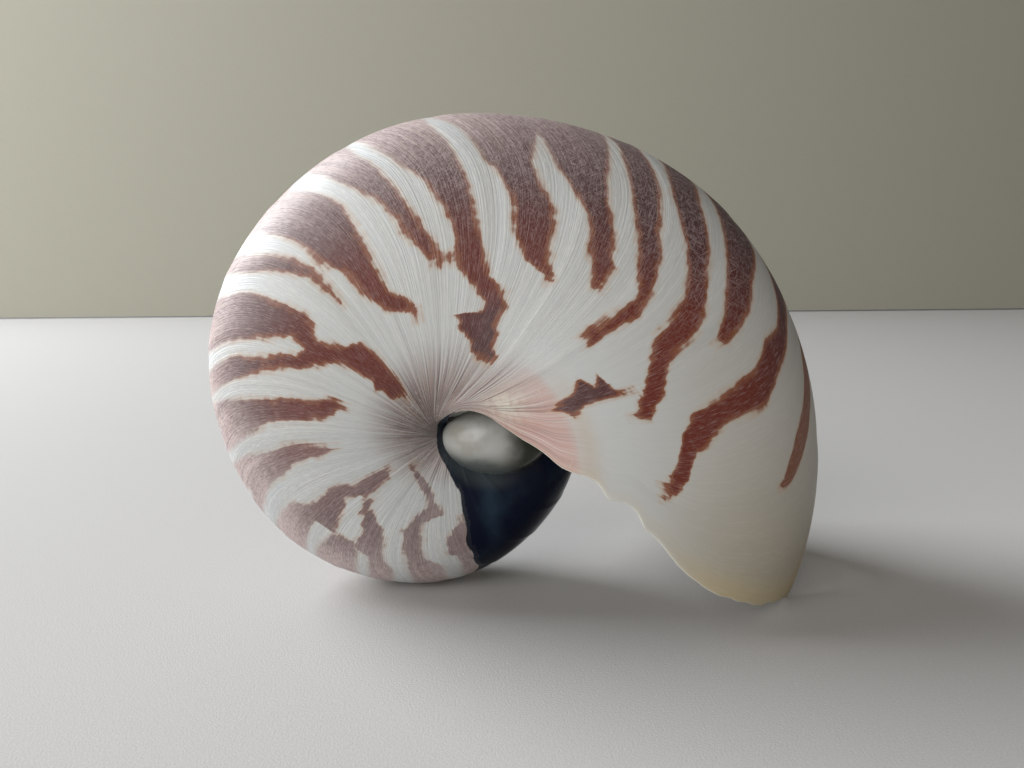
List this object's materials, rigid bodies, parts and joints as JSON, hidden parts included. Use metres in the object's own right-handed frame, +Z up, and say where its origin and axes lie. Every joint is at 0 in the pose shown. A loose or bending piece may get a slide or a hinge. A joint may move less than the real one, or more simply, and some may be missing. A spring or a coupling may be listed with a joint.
{
  "type": "nautilus shell",
  "caption": "Coiled nautilus shell with a closed umbilicus and an open body chamber, standing on the rim of its coil and the lobes of its lip.",
  "frame": {"origin": "on the floor, under the middle of the shell's bounding box, the shell standing on its coil and its lip", "axes": "+Z up; the coil's axis runs along Y and the shell is the same on both sides of the plane y = 0; the lip is towards +X and the rounded back of the coil towards -X"},
  "size_m": [0.1404, 0.0652, 0.1079],
  "materials": {
    "striped_shell": "satin"
  },
  "bodies": {
    "root": {"nautilus_shell": "striped_shell"}
  },
  "joints": []
}
